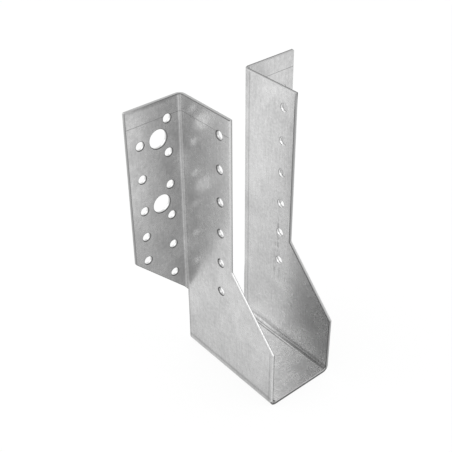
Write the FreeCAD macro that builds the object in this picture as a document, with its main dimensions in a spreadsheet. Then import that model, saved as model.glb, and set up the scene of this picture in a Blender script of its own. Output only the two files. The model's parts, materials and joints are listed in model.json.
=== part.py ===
import FreeCAD, Part

import math
import os

import Sketcher

# Joist hanger: one strip of galvanised sheet folded into a seat, two walls and two outward flanges.
#
# Frame, in millimetres: X runs across the joist, left to right for someone facing the header.
# Y points into the header, so the joist lies on the -Y side. Z is up.
# The origin is under the seat, midway between the walls and midway from the seat's front edge
# to the header's face. The body is drawn with the header's face in its own XZ plane, which the
# flanges' back faces meet, and is then set back by half the seat's depth.

# Driving sizes, one spreadsheet cell each: name, value, meaning.
SIZES = [
    ("inner_width", 42.0, "clear width between the walls, for the joist"),
    ("sheet", 2.0, "sheet thickness"),
    ("bend_radius", 2.0, "inside radius of all four bends"),
    ("total_height", 170.0, "seat underside to top edge"),
    ("seat_depth", 76.0, "header face to front edge of the seat"),
    ("neck_depth", 41.0, "header face to front edge of the upper walls"),
    ("neck_height", 76.0, "height where the walls' front edge starts to slope forward"),
    ("seat_corner_height", 39.0, "height where that slope meets the seat's front"),
    ("flange_reach", 34.5, "flange width beyond the wall's outer face"),
    ("flange_corner_height", 76.0, "height of the flange's lower outer corner"),
    ("flange_root_height", 41.5, "height of the flange's sloping edge at the wall's outer face"),
    ("back_setback", 2.0, "header face to the walls' back edge below the flanges"),
    ("nail_hole", 5.0, "nail hole diameter"),
    ("bolt_hole", 11.0, "bolt hole diameter"),
    ("nail_pitch", 20.0, "spacing of the nail holes along a column"),
    ("bolt_pitch", 40.0, "spacing of the two bolt holes in a flange"),
    ("top_row_drop", 11.5, "top edge to the first nail row"),
    ("outer_row_drop", 21.5, "top edge to the outer column's first hole and the first bolt hole"),
    ("wall_column_edge", 8.0, "upper wall's front edge to its nail column"),
    ("inner_column_offset", 8.8, "wall's outer face to the flange's inner nail column"),
    ("outer_column_edge", 8.0, "flange's outer edge to its outer nail column"),
    ("bolt_column_offset", 15.0, "wall's outer face to the bolt holes"),
    ("fourth_hole_pitch", 17.0, "outer column's third hole to its fourth"),
    ("fifth_hole_pitch", 16.0, "outer column's fourth hole to its fifth"),
    ("wall_holes", 6.0, "nail holes in a wall"),
    ("inner_holes", 6.0, "nail holes in a flange's inner column"),
    ("outer_holes", 3.0, "evenly spaced nail holes in a flange's outer column"),
    ("bolt_holes", 2.0, "bolt holes in a flange"),
    ("overcut", 5.0, "how far a cutting outline runs past the sheet"),
]

# Sizes that follow from the driving ones: name, formula.
DERIVED = [
    ("wall_inner", "inner_width / 2"),
    ("wall_outer", "wall_inner + sheet"),
    ("outer_radius", "bend_radius + sheet"),
    ("flange_edge", "wall_outer + flange_reach"),
    ("slope_rise", "flange_corner_height - flange_root_height"),
    ("lip_length", "outer_radius - back_setback"),
    ("channel_length", "seat_depth - outer_radius"),
    ("set_back", "seat_depth / 2"),
    ("cut_top", "total_height + overcut"),
    ("inner_cut", "wall_inner - overcut"),
    ("outer_cut", "flange_edge + overcut"),
    ("wall_column", "neck_depth - wall_column_edge"),
    ("inner_column", "wall_outer + inner_column_offset"),
    ("outer_column", "flange_edge - outer_column_edge"),
    ("bolt_column", "wall_outer + bolt_column_offset"),
    ("top_row", "total_height - top_row_drop"),
    ("outer_row", "total_height - outer_row_drop"),
    ("fourth_row", "outer_row - (outer_holes - 1) * nail_pitch - fourth_hole_pitch"),
    ("fifth_row", "fourth_row - fifth_hole_pitch"),
    ("wall_span", "(wall_holes - 1) * nail_pitch"),
    ("inner_span", "(inner_holes - 1) * nail_pitch"),
    ("outer_span", "(outer_holes - 1) * nail_pitch"),
    ("bolt_span", "(bolt_holes - 1) * bolt_pitch"),
]

START, END, CENTRE = 1, 2, 3
ORIGIN = (-1, 1)
ACROSS_AXIS, UPRIGHT_AXIS = -1, -2


def fill_sheet(sheet):
    """Write every size into the spreadsheet, one row each."""
    rows = [(name, str(value), meaning) for name, value, meaning in SIZES]
    rows += [(name, "=" + formula, name.replace("_", " ")) for name, formula in DERIVED]
    for row, (name, content, meaning) in enumerate(rows, start=1):
        sheet.set("A%d" % row, meaning)
        sheet.set("B%d" % row, content)
        sheet.setAlias("B%d" % row, name)


class Outline:
    """A sketch on one of the body's origin planes, sized from the spreadsheet."""

    def __init__(self, body, label, plane_role, set_back=None):
        """Attach a new sketch to the plane, moved set_back (a size's name) towards -Y."""
        self.sizes = body.Document.getObject("Sizes")
        self.sketch = body.newObject("Sketcher::SketchObject", label)
        plane = next(item for item in body.Origin.OriginFeatures if item.Role == plane_role)
        self.sketch.AttachmentSupport = [(plane, "")]
        self.sketch.MapMode = "FlatFace"
        if set_back:
            self.sketch.setExpression(".AttachmentOffset.Base.z", "Sizes." + set_back)

    def value(self, name):
        """Return a size's present value."""
        return float(getattr(self.sizes, name))

    def line(self, start, end):
        """Add a straight line and return its number."""
        segment = Part.LineSegment(FreeCAD.Vector(*start, 0), FreeCAD.Vector(*end, 0))
        return self.sketch.addGeometry(segment, False)

    def arc(self, centre, radius, first_degrees, last_degrees):
        """Add an arc, drawn anticlockwise, and return its number."""
        circle = Part.Circle(FreeCAD.Vector(*centre, 0), FreeCAD.Vector(0, 0, 1), radius)
        first, last = math.radians(first_degrees), math.radians(last_degrees)
        return self.sketch.addGeometry(Part.ArcOfCircle(circle, first, last), False)

    def hole(self, centre, diameter_name):
        """Add a full circle of a named diameter and return its number."""
        radius = self.value(diameter_name) / 2
        circle = Part.Circle(FreeCAD.Vector(*centre, 0), FreeCAD.Vector(0, 0, 1), radius)
        number = self.sketch.addGeometry(circle, False)
        self.size("Diameter", (number,), diameter_name)
        return number

    def rule(self, kind, *refs):
        """Add a constraint that has no size."""
        return self.sketch.addConstraint(Sketcher.Constraint(kind, *refs))

    def size(self, kind, refs, name):
        """Add a constraint whose size is the named spreadsheet cell."""
        number = self.rule(kind, *refs, self.value(name))
        self.sketch.setExpression("Constraints[%d]" % number, "Sizes." + name)

    def right(self, point, name):
        """Put a point the named distance to the right of the origin."""
        self.size("DistanceX", (*ORIGIN, *point), name)

    def left(self, point, name):
        """Put a point the named distance to the left of the origin."""
        self.size("DistanceX", (*point, *ORIGIN), name)

    def up(self, point, name):
        """Put a point the named distance above the origin."""
        self.size("DistanceY", (*ORIGIN, *point), name)

    def down(self, point, name):
        """Put a point the named distance below the origin."""
        self.size("DistanceY", (*point, *ORIGIN), name)

    def loop(self, points):
        """Add a closed outline of straight lines and return their numbers."""
        following = points[1:] + points[:1]
        lines = [self.line(start, end) for start, end in zip(points, following)]
        for line, after in zip(lines, lines[1:] + lines[:1]):
            self.rule("Coincident", line, END, after, START)
        return lines

    def guide(self, across_name, height_name):
        """Add a construction point at a named distance right of and above the origin."""
        place = FreeCAD.Vector(self.value(across_name), self.value(height_name), 0)
        number = self.sketch.addGeometry(Part.Point(place), True)
        self.right((number, START), across_name)
        self.up((number, START), height_name)
        return number


def draw_half_channel(outline, wall_top):
    """Draw the right half of the seat and wall, seen along the joist; return the wall's top line.

    The seat's underside lies on the sketch's horizontal axis and the half ends on the upright one.
    """
    inner = outline.value("wall_inner")
    outer = outline.value("wall_outer")
    sheet = outline.value("sheet")
    bend = outline.value("bend_radius")
    centre = (outer - sheet - bend, sheet + bend)

    under = outline.line((0, 0), (centre[0], 0))
    outer_bend = outline.arc(centre, sheet + bend, -90, 0)
    outside = outline.line((outer, centre[1]), (outer, wall_top))
    top = outline.line((outer, wall_top), (inner, wall_top))
    inside = outline.line((inner, wall_top), (inner, centre[1]))
    inner_bend = outline.arc(centre, bend, -90, 0)
    over = outline.line((centre[0], sheet), (0, sheet))
    middle = outline.line((0, sheet), (0, 0))

    outline.rule("Coincident", under, START, *ORIGIN)
    outline.rule("Tangent", under, END, outer_bend, START)
    outline.rule("Tangent", outer_bend, END, outside, START)
    outline.rule("Coincident", outside, END, top, START)
    outline.rule("Coincident", top, END, inside, START)
    outline.rule("Tangent", inside, END, inner_bend, END)
    outline.rule("Tangent", inner_bend, START, over, START)
    outline.rule("Coincident", over, END, middle, START)
    outline.rule("Coincident", middle, END, under, START)
    outline.rule("Coincident", outer_bend, CENTRE, inner_bend, CENTRE)
    for level in (under, over):
        outline.rule("Horizontal", level)
    for upright in (outside, inside, middle):
        outline.rule("Vertical", upright)
    outline.up((over, END), "sheet")
    outline.size("Radius", (inner_bend,), "bend_radius")
    outline.right((inside, START), "wall_inner")
    return top


def draw_flange_slope(outline, edge):
    """Lay a line along the flange's sloping lower edge."""
    for guide in (outline.guide("wall_outer", "flange_root_height"),
                  outline.guide("flange_edge", "flange_corner_height")):
        outline.rule("PointOnObject", guide, START, edge)


def channel_outline(body):
    """Seat and full-height wall, in front of the flange bend."""
    outline = Outline(body, "ChannelOutline", "XZ_Plane", "outer_radius")
    top = draw_half_channel(outline, outline.value("total_height"))
    outline.rule("Horizontal", top)
    outline.up((top, START), "total_height")
    return outline.sketch


def lip_outline(body):
    """Seat and lower wall behind that, up to the flange's sloping edge."""
    outline = Outline(body, "LipOutline", "XZ_Plane", "back_setback")
    top = draw_half_channel(outline, outline.value("flange_root_height"))
    draw_flange_slope(outline, top)
    return outline.sketch


def front_outline(body):
    """What the wall's front edge leaves out: the strip ahead of the neck, above the slope."""
    outline = Outline(body, "FrontOutline", "YZ_Plane")
    neck = -outline.value("neck_depth")
    front = -outline.value("seat_depth")
    ahead = front - outline.value("overcut")
    low = outline.value("seat_corner_height")
    top = outline.value("cut_top")
    points = [(neck, top), (neck, outline.value("neck_height")), (front, low), (ahead, low), (ahead, top)]
    edge, slope, level, ahead_edge, top_edge = outline.loop(points)
    for upright in (edge, ahead_edge):
        outline.rule("Vertical", upright)
    for flat in (level, top_edge):
        outline.rule("Horizontal", flat)
    outline.left((slope, START), "neck_depth")
    outline.up((slope, START), "neck_height")
    outline.left((slope, END), "seat_depth")
    outline.up((slope, END), "seat_corner_height")
    outline.size("DistanceX", (level, END, level, START), "overcut")
    outline.up((top_edge, END), "cut_top")
    return outline.sketch


def flange_outline(body):
    """Plan view of the flange and its bend, from the wall's end to the outer edge."""
    outline = Outline(body, "FlangeOutline", "XY_Plane")
    sheet = outline.value("sheet")
    bend = outline.value("bend_radius")
    inner = outline.value("wall_inner")
    outer = outline.value("wall_outer")
    edge = outline.value("flange_edge")
    centre = (outer + bend, -sheet - bend)

    root = outline.line((inner, centre[1]), (outer, centre[1]))
    hollow = outline.arc(centre, bend, 90, 180)
    front = outline.line((centre[0], -sheet), (edge, -sheet))
    side = outline.line((edge, -sheet), (edge, 0))
    back = outline.line((edge, 0), (centre[0], 0))
    round_back = outline.arc(centre, sheet + bend, 90, 180)

    outline.rule("Coincident", root, END, hollow, END)
    outline.rule("Tangent", hollow, START, front, START)
    outline.rule("Coincident", front, END, side, START)
    outline.rule("Coincident", side, END, back, START)
    outline.rule("Tangent", back, END, round_back, START)
    outline.rule("Coincident", round_back, END, root, START)
    outline.rule("Coincident", hollow, CENTRE, round_back, CENTRE)
    for level in (root, front, back):
        outline.rule("Horizontal", level)
    outline.rule("Vertical", side)
    outline.rule("PointOnObject", side, END, ACROSS_AXIS)
    outline.down((side, START), "sheet")
    outline.size("Radius", (hollow,), "bend_radius")
    outline.down((root, END), "outer_radius")
    outline.right((root, END), "wall_outer")
    outline.right((side, START), "flange_edge")
    return outline.sketch


def slope_outline(body):
    """What the flange's sloping lower edge leaves out, seen from the front."""
    outline = Outline(body, "SlopeOutline", "XZ_Plane")
    inner = outline.value("inner_cut")
    outer = outline.value("outer_cut")
    steepness = outline.value("slope_rise") / outline.value("flange_reach")
    root = outline.value("flange_root_height")

    def slope_height(across):
        return root + (across - outline.value("wall_outer")) * steepness

    below = -outline.value("overcut")
    points = [(inner, below), (outer, below), (outer, slope_height(outer)), (inner, slope_height(inner))]
    bottom, outer_edge, slope, inner_edge = outline.loop(points)
    outline.rule("Horizontal", bottom)
    for upright in (outer_edge, inner_edge):
        outline.rule("Vertical", upright)
    draw_flange_slope(outline, slope)
    outline.down((bottom, START), "overcut")
    outline.right((bottom, START), "inner_cut")
    outline.right((bottom, END), "outer_cut")
    return outline.sketch


def wall_hole_outline(body):
    """The wall's top nail hole."""
    outline = Outline(body, "WallHoleOutline", "YZ_Plane")
    hole = outline.hole((-outline.value("wall_column"), outline.value("top_row")), "nail_hole")
    outline.left((hole, CENTRE), "wall_column")
    outline.up((hole, CENTRE), "top_row")
    return outline.sketch


def flange_hole_outline(body, label, diameter, column, rows):
    """Flange holes of one diameter in one column, at the named heights."""
    outline = Outline(body, label, "XZ_Plane")
    for row in rows:
        hole = outline.hole((outline.value(column), outline.value(row)), diameter)
        outline.right((hole, CENTRE), column)
        outline.up((hole, CENTRE), row)
    return outline.sketch


def pad(body, label, sketch, length_name):
    """Add the sketch's area, grown the named length along the sketch's normal."""
    feature = body.newObject("PartDesign::Pad", label)
    feature.Profile = sketch
    feature.setExpression("Length", "Sizes." + length_name)
    return feature


def pocket(body, label, sketch, length_name=None):
    """Cut the sketch's area away: forward to the named depth, or right through both ways."""
    feature = body.newObject("PartDesign::Pocket", label)
    feature.Profile = sketch
    if length_name:
        feature.Type = "Length"
        feature.Reversed = True
        feature.setExpression("Length", "Sizes." + length_name)
    else:
        feature.Type = "ThroughAll"
        feature.SideType = "Symmetric"
    return feature


def hole_column(body, label, sketch, span_name, count_name):
    """Cut the sketch's hole and repeat it downwards, over the named span."""
    first = pocket(body, label, sketch)
    body.Document.recompute()
    column = body.newObject("PartDesign::LinearPattern", label + "Column")
    column.Originals = [first]
    column.Direction = (sketch, ["V_Axis"])
    column.Reversed = True
    column.setExpression("Length", "Sizes." + span_name)
    column.setExpression("Occurrences", "Sizes." + count_name)
    body.Tip = column
    return column


def mirror_body(body):
    """Complete the hanger: the half built so far, mirrored across the joist's middle plane."""
    body.Document.recompute()
    plane = next(item for item in body.Origin.OriginFeatures if item.Role == "YZ_Plane")
    whole = body.newObject("PartDesign::Mirrored", "BothHalves")
    whole.TransformMode = "Whole shape"
    whole.MirrorPlane = (plane, [""])
    whole.Refine = True
    body.Tip = whole
    return whole


def build_hanger(document):
    """Fold the hanger: half of it first, then the mirror image."""
    body = document.addObject("PartDesign::Body", "Hanger")
    body.Label = "hanger"
    body.setExpression(".Placement.Base.y", "Sizes.set_back")

    pad(body, "Channel", channel_outline(body), "channel_length")
    pocket(body, "FrontCut", front_outline(body))
    pad(body, "Flange", flange_outline(body), "total_height")
    pocket(body, "SlopeCut", slope_outline(body), "outer_radius")
    pad(body, "Lip", lip_outline(body), "lip_length")

    hole_column(body, "WallNail", wall_hole_outline(body), "wall_span", "wall_holes")
    inner = flange_hole_outline(body, "InnerNailOutline", "nail_hole", "inner_column", ["top_row"])
    hole_column(body, "InnerNail", inner, "inner_span", "inner_holes")
    outer = flange_hole_outline(body, "OuterNailOutline", "nail_hole", "outer_column", ["outer_row"])
    hole_column(body, "OuterNail", outer, "outer_span", "outer_holes")
    lower = flange_hole_outline(
        body, "LowerNailOutline", "nail_hole", "outer_column", ["fourth_row", "fifth_row"])
    pocket(body, "LowerNail", lower)
    bolts = flange_hole_outline(body, "BoltOutline", "bolt_hole", "bolt_column", ["outer_row"])
    hole_column(body, "Bolt", bolts, "bolt_span", "bolt_holes")

    mirror_body(body)
    return body


def check_document(document):
    """Stop if any object failed to build or has no sound shape."""
    for item in document.Objects:
        if "Invalid" in item.State or "Error" in item.State:
            raise RuntimeError("%s did not build: %s" % (item.Name, item.State))
        is_solid = item.isDerivedFrom("PartDesign::Feature") or item.isDerivedFrom("PartDesign::Body")
        if is_solid and (item.Shape.isNull() or not item.Shape.isValid()):
            raise RuntimeError("%s has no sound shape" % item.Name)


def check_steps(body):
    """Stop if a pad or the mirror added nothing, or a pocket cut nothing."""
    volume = 0
    for feature in body.Group:
        if not feature.isDerivedFrom("PartDesign::Feature"):
            continue
        change = feature.Shape.Volume - volume
        grows = feature.TypeId in ("PartDesign::Pad", "PartDesign::Mirrored")
        if grows and change <= 0:
            raise RuntimeError("%s added nothing" % feature.Name)
        if feature.TypeId == "PartDesign::Pocket" and change >= 0:
            raise RuntimeError("%s cut nothing" % feature.Name)
        volume = feature.Shape.Volume
    if len(body.Shape.Solids) != 1:
        raise RuntimeError("%s is not one solid" % body.Name)


def main():
    """Build the hanger, check it and write it out."""
    document = FreeCAD.newDocument("JoistHanger")
    fill_sheet(document.addObject("Spreadsheet::Sheet", "Sizes"))
    document.recompute()

    hanger = build_hanger(document)
    document.recompute()
    check_document(document)
    check_steps(hanger)

    os.makedirs("parts", exist_ok=True)
    hanger.Shape.exportStep("parts/%s.step" % hanger.Label)
    box = hanger.Shape.BoundBox
    print("%s: %.1f x %.1f x %.1f mm" % (hanger.Label, box.XLength, box.YLength, box.ZLength))


main()
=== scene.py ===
"""A joist hanger folded from one strip of galvanised steel sheet, on a white studio sweep.

The strip is modelled as it is made. A flat seat is drawn at the middle of the sheet's thickness, the walls
and flanges are folded up from it and the outline is sheared. Then the sheet gets its thickness, its sheared
edges are rounded, the holes are punched and the line below the top is scored. Lengths are in metres and in
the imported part's frame: X across the joist, Y into the header, Z up.
"""

from __future__ import annotations

import json
import logging
import math
from collections.abc import Callable, Sequence
from dataclasses import dataclass
from enum import Enum
from typing import Any

import bmesh
import bpy
from mathutils import Matrix, Vector

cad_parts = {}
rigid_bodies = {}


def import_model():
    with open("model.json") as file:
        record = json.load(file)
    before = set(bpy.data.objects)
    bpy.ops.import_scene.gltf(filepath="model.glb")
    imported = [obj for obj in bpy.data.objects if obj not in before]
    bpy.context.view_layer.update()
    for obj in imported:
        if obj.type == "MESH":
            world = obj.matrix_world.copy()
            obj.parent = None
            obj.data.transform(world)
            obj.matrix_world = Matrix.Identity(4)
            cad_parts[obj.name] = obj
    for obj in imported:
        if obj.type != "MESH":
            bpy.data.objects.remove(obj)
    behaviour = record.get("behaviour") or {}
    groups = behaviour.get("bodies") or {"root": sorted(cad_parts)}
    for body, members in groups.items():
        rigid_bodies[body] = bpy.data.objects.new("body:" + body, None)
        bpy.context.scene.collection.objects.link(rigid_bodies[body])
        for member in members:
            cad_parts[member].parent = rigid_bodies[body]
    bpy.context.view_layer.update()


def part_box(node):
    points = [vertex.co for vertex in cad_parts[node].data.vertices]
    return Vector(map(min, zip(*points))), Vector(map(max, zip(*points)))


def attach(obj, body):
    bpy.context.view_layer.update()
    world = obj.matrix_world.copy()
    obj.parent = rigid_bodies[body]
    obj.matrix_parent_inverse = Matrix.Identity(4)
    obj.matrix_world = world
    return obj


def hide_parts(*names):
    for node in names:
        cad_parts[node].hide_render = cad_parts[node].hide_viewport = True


LOG = logging.getLogger("joist_hanger")

MM = 0.001
FLUSH = 0.01 * MM
MID_DEPTH = 0.5
QUARTER_TURN = math.pi / 2
NODE = "hanger"
BODY = "root"
BLANK_MAP = "blank"
DEPTH_MAP = "through"
WHITE = "FFFFFF"

# Input and output sockets of a Mix node, whose names repeat for each kind of value that it mixes.
SHARE = 0
NUMBER_A, NUMBER_B = 2, 3
COLOUR_A, COLOUR_B = 6, 7
NUMBER_OUT, COLOUR_OUT = 0, 2

# The sRGB standard's curve.
CHANNEL_TOP = 255
SRGB_TOE = 0.04045
SRGB_TOE_SLOPE = 12.92
SRGB_LIFT = 0.055
SRGB_POWER = 2.4

Piece = bpy.types.Object
Tree = bpy.types.NodeTree
Socket = bpy.types.NodeSocket
Corners = Sequence[Vector]


class Layer(Enum):
    """Material places on the folded sheet, each with its own finish."""

    FACE = 0
    CUT = 1
    SCORE = 2
    HOLE = 3
    CROP = 4
    # Lit copies of the sheared steel on the left wall's front edges, painted light: the slope and the
    # upright.
    LIT_SLOPE = 5
    LIT_UPRIGHT = 6


class Element(Enum):
    """What a selection in edit mode is made of."""

    EDGE = "EDGE"
    FACE = "FACE"


def linear(code: str) -> tuple[float, float, float, float]:
    """Turn an sRGB hex code into the linear colour that a shader takes.

    Args:
        code: Six hex digits.

    Returns:
        Linear red, green, blue and an alpha of one.
    """
    channels = [part / CHANNEL_TOP for part in bytes.fromhex(code)]
    red, green, blue = (
        c / SRGB_TOE_SLOPE if c <= SRGB_TOE else ((c + SRGB_LIFT) / (1 + SRGB_LIFT)) ** SRGB_POWER
        for c in channels
    )
    return red, green, blue, 1.0


def clamp(value: float) -> float:
    """Keep a share between 0 and 1."""
    return min(1.0, max(0.0, value))


def smooth_step(value: float) -> float:
    """Ease a value from 0 to 1, flat at both ends."""
    share = clamp(value)
    return share * share * (3 - 2 * share)


def direction(azimuth: float, elevation: float) -> Vector:
    """Point away from the hanger.

    Args:
        azimuth: Degrees round from the front, towards the right.
        elevation: Degrees above level.

    Returns:
        The unit vector.
    """
    turn, tilt = math.radians(azimuth), math.radians(elevation)
    return Vector((math.sin(turn) * math.cos(tilt), -math.cos(turn) * math.cos(tilt), math.sin(tilt)))


def add_node(
    tree: Tree,
    kind: str,
    settings: dict[str, Any] | None = None,
    values: dict[str | int, Any] | None = None,
    links: dict[str | int, Socket] | None = None,
    stops: Sequence[tuple[float, str]] = (),
) -> bpy.types.Node:
    """Add a shader node with its settings, socket values, incoming links and colour stops.

    Args:
        tree: Node tree to add to.
        kind: Blender's name for the node type.
        settings: Attributes to set on the node.
        values: Default values by input socket.
        links: Output sockets to link, by input socket.
        stops: Place and sRGB hex colour of each stop of a colour ramp, in order.

    Returns:
        The new node.
    """
    node = tree.nodes.new(kind)
    for name, setting in (settings or {}).items():
        setattr(node, name, setting)
    for socket, value in (values or {}).items():
        node.inputs[socket].default_value = value
    for socket, source in (links or {}).items():
        tree.links.new(source, node.inputs[socket])
    if stops:
        points = node.color_ramp.elements
        while len(points) < len(stops):
            points.new(1.0)
        for point, (place, code) in zip(points, stops):
            point.position = place
            point.color = linear(code)
    return node


def clear_start() -> None:
    """Remove the objects that a new file starts with."""
    for item in list(bpy.data.objects):
        bpy.data.objects.remove(item)


def deselect_all() -> None:
    """Leave edit mode and deselect every object."""
    if bpy.context.object and bpy.context.object.mode != "OBJECT":
        bpy.ops.object.mode_set(mode="OBJECT")
    bpy.ops.object.select_all(action="DESELECT")


def make_active(piece: Piece) -> None:
    """Select one object alone and make it active.

    Args:
        piece: The object.
    """
    deselect_all()
    piece.select_set(True)
    bpy.context.view_layer.objects.active = piece


def apply_modifier(piece: Piece, kind: str, settings: dict[str, Any]) -> None:
    """Add a modifier with its settings and apply it at once.

    Args:
        piece: Object to change.
        kind: Blender's name for the modifier type.
        settings: Attributes to set on the modifier.
    """
    make_active(piece)
    modifier = piece.modifiers.new(kind.title(), kind)
    for name, setting in settings.items():
        setattr(modifier, name, setting)
    bpy.ops.object.modifier_apply(modifier=modifier.name)


def pick(piece: Piece, element: Element, test: Callable[[Corners], bool]) -> None:
    """Select, in edit mode, the edges or faces whose corners pass a test.

    Args:
        piece: Mesh object in edit mode.
        element: Whether edges or faces are selected.
        test: Says, from the corner places, whether an edge or face is wanted.
    """
    bpy.ops.mesh.select_mode(type=element.value)
    bpy.ops.mesh.select_all(action="DESELECT")
    mesh = bmesh.from_edit_mesh(piece.data)
    for item in mesh.edges if element is Element.EDGE else mesh.faces:
        if test([vertex.co for vertex in item.verts]):
            item.select_set(True)
    mesh.select_flush_mode()
    bmesh.update_edit_mesh(piece.data)


@dataclass(frozen=True)
class StripSizes:
    """The strip's own sizes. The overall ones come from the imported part."""

    half_width: float
    front: float
    header: float
    height: float
    sheet: float = 2.0 * MM
    inner_width: float = 42.0 * MM
    bend_radius: float = 2.0 * MM
    neck_depth: float = 41.0 * MM
    neck_height: float = 76.0 * MM
    seat_corner_height: float = 39.0 * MM
    flange_root_height: float = 41.5 * MM
    flange_corner_height: float = 76.0 * MM
    back_setback: float = 2.0 * MM

    @classmethod
    def from_frame(cls) -> StripSizes:
        """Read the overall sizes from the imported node's box."""
        low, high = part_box(NODE)
        return cls(half_width=high.x, front=low.y, header=high.y, height=high.z)

    @property
    def wall_middle(self) -> float:
        """X of the right wall's mid-thickness."""
        return (self.inner_width + self.sheet) / 2

    @property
    def wall_outer(self) -> float:
        """X of the right wall's outer face."""
        return self.inner_width / 2 + self.sheet

    @property
    def middle_radius(self) -> float:
        """Bend radius at mid-thickness."""
        return self.bend_radius + self.sheet / 2

    @property
    def bend_length(self) -> float:
        """Length of a right-angled bend on the flat blank."""
        return self.middle_radius * QUARTER_TURN

    @property
    def seat_flat(self) -> float:
        """X where the seat's flat ends and its right bend starts."""
        return self.wall_middle - self.middle_radius

    @property
    def seat_rise(self) -> float:
        """Height of the seat bend's axis, where the wall's flat starts."""
        return self.sheet + self.bend_radius

    @property
    def bend_line(self) -> float:
        """Y of the flange bend's axis, where the wall starts to turn."""
        return self.header - self.bend_radius - self.sheet

    @property
    def fold_end(self) -> float:
        """X of the right flange bend's axis, where the flange's flat starts."""
        return self.wall_outer + self.bend_radius

    @property
    def lip_back(self) -> float:
        """Y of the walls' and seat's back edge below the flanges."""
        return self.header - self.back_setback

    @property
    def neck_front(self) -> float:
        """Y of the upper walls' front edge."""
        return self.header - self.neck_depth

    @property
    def slope(self) -> float:
        """Rise over run of the flange's sloping lower edge."""
        run = self.half_width - self.wall_outer
        return (self.flange_corner_height - self.flange_root_height) / run

    def slope_height(self, aside: float) -> float:
        """Height of the flange's sloping edge at a distance from the middle."""
        return self.flange_root_height + (aside - self.wall_outer) * self.slope


@dataclass(frozen=True)
class FlangeHole:
    """A hole through each flange: how far from the middle, how high and how wide."""

    aside: float
    height: float
    diameter: float


@dataclass(frozen=True)
class HoleLayout:
    """Where the nail and bolt holes are, measured from the sheet's edges."""

    nail: float = 5.0 * MM
    bolt: float = 11.0 * MM
    pitch: float = 20.0 * MM
    bolt_pitch: float = 40.0 * MM
    top_row_drop: float = 11.5 * MM
    outer_row_drop: float = 21.5 * MM
    wall_column_edge: float = 8.0 * MM
    inner_column_offset: float = 8.8 * MM
    outer_column_edge: float = 8.0 * MM
    bolt_column_offset: float = 15.0 * MM
    fourth_pitch: float = 17.0 * MM
    fifth_pitch: float = 16.0 * MM
    wall_count: int = 6
    inner_count: int = 6
    outer_count: int = 3
    bolt_count: int = 2

    def wall_heights(self, sizes: StripSizes) -> list[float]:
        """Heights of the nail holes through the walls."""
        top = sizes.height - self.top_row_drop
        return [top - row * self.pitch for row in range(self.wall_count)]

    def flange_holes(self, sizes: StripSizes) -> list[FlangeHole]:
        """List every hole in the right flange.

        Args:
            sizes: The strip's sizes.

        Returns:
            The inner nail column, the outer nail column and the bolt holes.
        """
        top = sizes.height - self.top_row_drop
        outer_top = sizes.height - self.outer_row_drop
        inner = sizes.wall_outer + self.inner_column_offset
        outer = sizes.half_width - self.outer_column_edge
        bolt = sizes.wall_outer + self.bolt_column_offset
        outer_heights = [outer_top - row * self.pitch for row in range(self.outer_count)]
        for step in (self.fourth_pitch, self.fifth_pitch):
            outer_heights.append(outer_heights[-1] - step)
        bolt_heights = [outer_top - row * self.bolt_pitch for row in range(self.bolt_count)]
        holes = [FlangeHole(inner, top - row * self.pitch, self.nail) for row in range(self.inner_count)]
        holes += [FlangeHole(outer, height, self.nail) for height in outer_heights]
        holes += [FlangeHole(bolt, height, self.bolt) for height in bolt_heights]
        return holes


@dataclass(frozen=True)
class SheetPoint:
    """A point of the folded sheet, and where it lay on the flat blank.

    The blank is measured along the strip from the seat's middle, right side positive, and across it. The
    depth runs from the sheet's outer face, 0, to its inner face, 1.
    """

    place: Vector
    along: float
    across: float
    depth: float


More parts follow.
